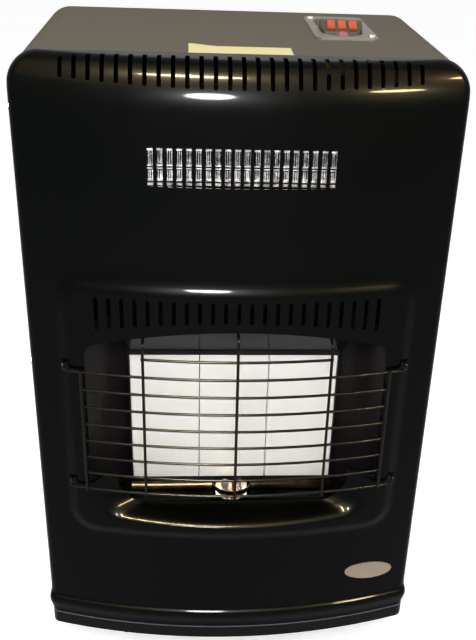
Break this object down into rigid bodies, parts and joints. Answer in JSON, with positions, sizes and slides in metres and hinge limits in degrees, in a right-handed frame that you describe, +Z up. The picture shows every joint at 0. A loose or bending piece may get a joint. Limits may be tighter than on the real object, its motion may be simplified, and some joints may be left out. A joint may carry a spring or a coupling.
{
  "type": "portable gas cabinet heater",
  "caption": "Upright cabinet heater on castors: bowed front with a wire-guarded radiant burner, fan outlet, top controls and a hinged rear door round the gas cylinder bay.",
  "frame": {"origin": "on the floor, under the middle of the heater's bounding box", "axes": "+Z up, +X to the right of someone facing the front, -Y towards them"},
  "size_m": [0.425, 0.4522, 0.7215],
  "materials": {
    "gloss_black": "gloss",
    "satin_grey": "satin",
    "plinth_grey": "satin",
    "dark_wire": "gloss",
    "galvanised": "satin",
    "polished": "polished",
    "plaque_white": "matte",
    "bezel_grey": "satin",
    "rocker_orange": "gloss",
    "lens_pink": "gloss",
    "black_plastic": "satin",
    "brass": "satin",
    "copper": "satin",
    "zinc_steel": "satin",
    "castor_black": "satin"
  },
  "bodies": {
    "cabinet": {"base_pan": "galvanised", "bezel_screws": "zinc_steel", "burner_plenum": "galvanised", "cabinet_wrap": "satin_grey", "case_screws": "zinc_steel", "castor_stems": "zinc_steel", "control_bezel": "bezel_grey", "control_tray": "galvanised", "fan_housing": "galvanised", "fan_motor": "zinc_steel", "front_panel": "gloss_black", "gas_pipe": "copper", "gas_valve": "brass", "heat_shield": "galvanised", "heating_element": "zinc_steel", "hinge_brackets": "zinc_steel", "hinge_pins": "zinc_steel", "indicator_lens": "lens_pink", "injector_manifold": "brass", "mains_gland": "black_plastic", "piezo_igniter": "black_plastic", "pilot_bracket": "zinc_steel", "pilot_burner": "zinc_steel", "pilot_cup": "polished", "plaque_centre": "plaque_white", "plaque_left": "plaque_white", "plaque_right": "plaque_white", "plinth": "plinth_grey", "rear_frame": "satin_grey", "reflector_bottom": "polished", "reflector_left": "polished", "reflector_right": "polished", "reflector_top": "polished", "spark_electrode": "zinc_steel", "switch_pod": "bezel_grey", "terminal_block": "black_plastic", "thermocouple": "copper", "top_deflector": "galvanised", "wire_guard": "dark_wire"},
    "valve_spindle": {"valve_spindle": "zinc_steel"},
    "gas_knob": {"gas_knob": "black_plastic"},
    "rocker_left": {"rocker_left": "rocker_orange"},
    "rocker_centre": {"rocker_centre": "rocker_orange"},
    "rocker_right": {"rocker_right": "rocker_orange"},
    "fan_rotor": {"fan_rotor": "zinc_steel"},
    "rear_door": {"rear_door": "satin_grey", "door_leaves": "zinc_steel"},
    "door_latch": {"door_latch": "black_plastic"},
    "castor_front_left": {"fork_front_left": "zinc_steel", "axle_front_left": "zinc_steel"},
    "wheel_front_left": {"wheel_front_left": "castor_black"},
    "castor_front_right": {"fork_front_right": "zinc_steel", "axle_front_right": "zinc_steel"},
    "wheel_front_right": {"wheel_front_right": "castor_black"},
    "castor_rear_left": {"fork_rear_left": "zinc_steel", "axle_rear_left": "zinc_steel"},
    "wheel_rear_left": {"wheel_rear_left": "castor_black"},
    "castor_rear_right": {"fork_rear_right": "zinc_steel", "axle_rear_right": "zinc_steel"},
    "wheel_rear_right": {"wheel_rear_right": "castor_black"}
  },
  "joints": [
    {"name": "valve_turn", "type": "hinge", "parent": "cabinet", "child": "valve_spindle", "pos_m": [0.1065, 0.02555, 0.68], "axis": [0, 0, 1], "range_deg": [0, 200]},
    {"name": "knob_press", "type": "slide", "parent": "valve_spindle", "child": "gas_knob", "axis": [0, 0, -1], "range_m": [0, 0.004], "stiffness_N_per_m": 500, "springref_m": -0.004},
    {"name": "rocker_left_tilt", "type": "hinge", "parent": "cabinet", "child": "rocker_left", "pos_m": [0.0953, -0.03663, 0.71585], "axis": [1, 0, 0], "range_deg": [0, 14]},
    {"name": "rocker_centre_tilt", "type": "hinge", "parent": "cabinet", "child": "rocker_centre", "pos_m": [0.1065, -0.03663, 0.71585], "axis": [1, 0, 0], "range_deg": [0, 14]},
    {"name": "rocker_right_tilt", "type": "hinge", "parent": "cabinet", "child": "rocker_right", "pos_m": [0.1177, -0.03663, 0.71585], "axis": [1, 0, 0], "range_deg": [0, 14]},
    {"name": "fan_spin", "type": "hinge", "parent": "cabinet", "child": "fan_rotor", "pos_m": [0, -0.14245, 0.618], "axis": [1, 0, 0], "continuous": true},
    {"name": "door_swing", "type": "hinge", "parent": "cabinet", "child": "rear_door", "pos_m": [-0.2043, 0.10905, 0.37], "axis": [0, 0, 1], "range_deg": [0, 105]},
    {"name": "latch_turn", "type": "hinge", "parent": "rear_door", "child": "door_latch", "pos_m": [0.1905, 0.1, 0.39], "axis": [0, 1, 0], "range_deg": [0, 90]},
    {"name": "castor_front_left_swivel", "type": "hinge", "parent": "cabinet", "child": "castor_front_left", "pos_m": [-0.1215, -0.15045, 0.06], "axis": [0, 0, 1], "continuous": true},
    {"name": "wheel_front_left_roll", "type": "hinge", "parent": "castor_front_left", "child": "wheel_front_left", "pos_m": [-0.12826, -0.13595, 0.025], "axis": [0.9063, 0.4226, 0], "continuous": true},
    {"name": "castor_front_right_swivel", "type": "hinge", "parent": "cabinet", "child": "castor_front_right", "pos_m": [0.1215, -0.15045, 0.06], "axis": [0, 0, 1], "continuous": true},
    {"name": "wheel_front_right_roll", "type": "hinge", "parent": "castor_front_right", "child": "wheel_front_right", "pos_m": [0.11474, -0.13595, 0.025], "axis": [0.9063, 0.4226, 0], "continuous": true},
    {"name": "castor_rear_left_swivel", "type": "hinge", "parent": "cabinet", "child": "castor_rear_left", "pos_m": [-0.1215, 0.16455, 0.06], "axis": [0, 0, 1], "continuous": true},
    {"name": "wheel_rear_left_roll", "type": "hinge", "parent": "castor_rear_left", "child": "wheel_rear_left", "pos_m": [-0.12826, 0.17905, 0.025], "axis": [0.9063, 0.4226, 0], "continuous": true},
    {"name": "castor_rear_right_swivel", "type": "hinge", "parent": "cabinet", "child": "castor_rear_right", "pos_m": [0.1215, 0.16455, 0.06], "axis": [0, 0, 1], "continuous": true},
    {"name": "wheel_rear_right_roll", "type": "hinge", "parent": "castor_rear_right", "child": "wheel_rear_right", "pos_m": [0.11474, 0.17905, 0.025], "axis": [0.9063, 0.4226, 0], "continuous": true}
  ]
}
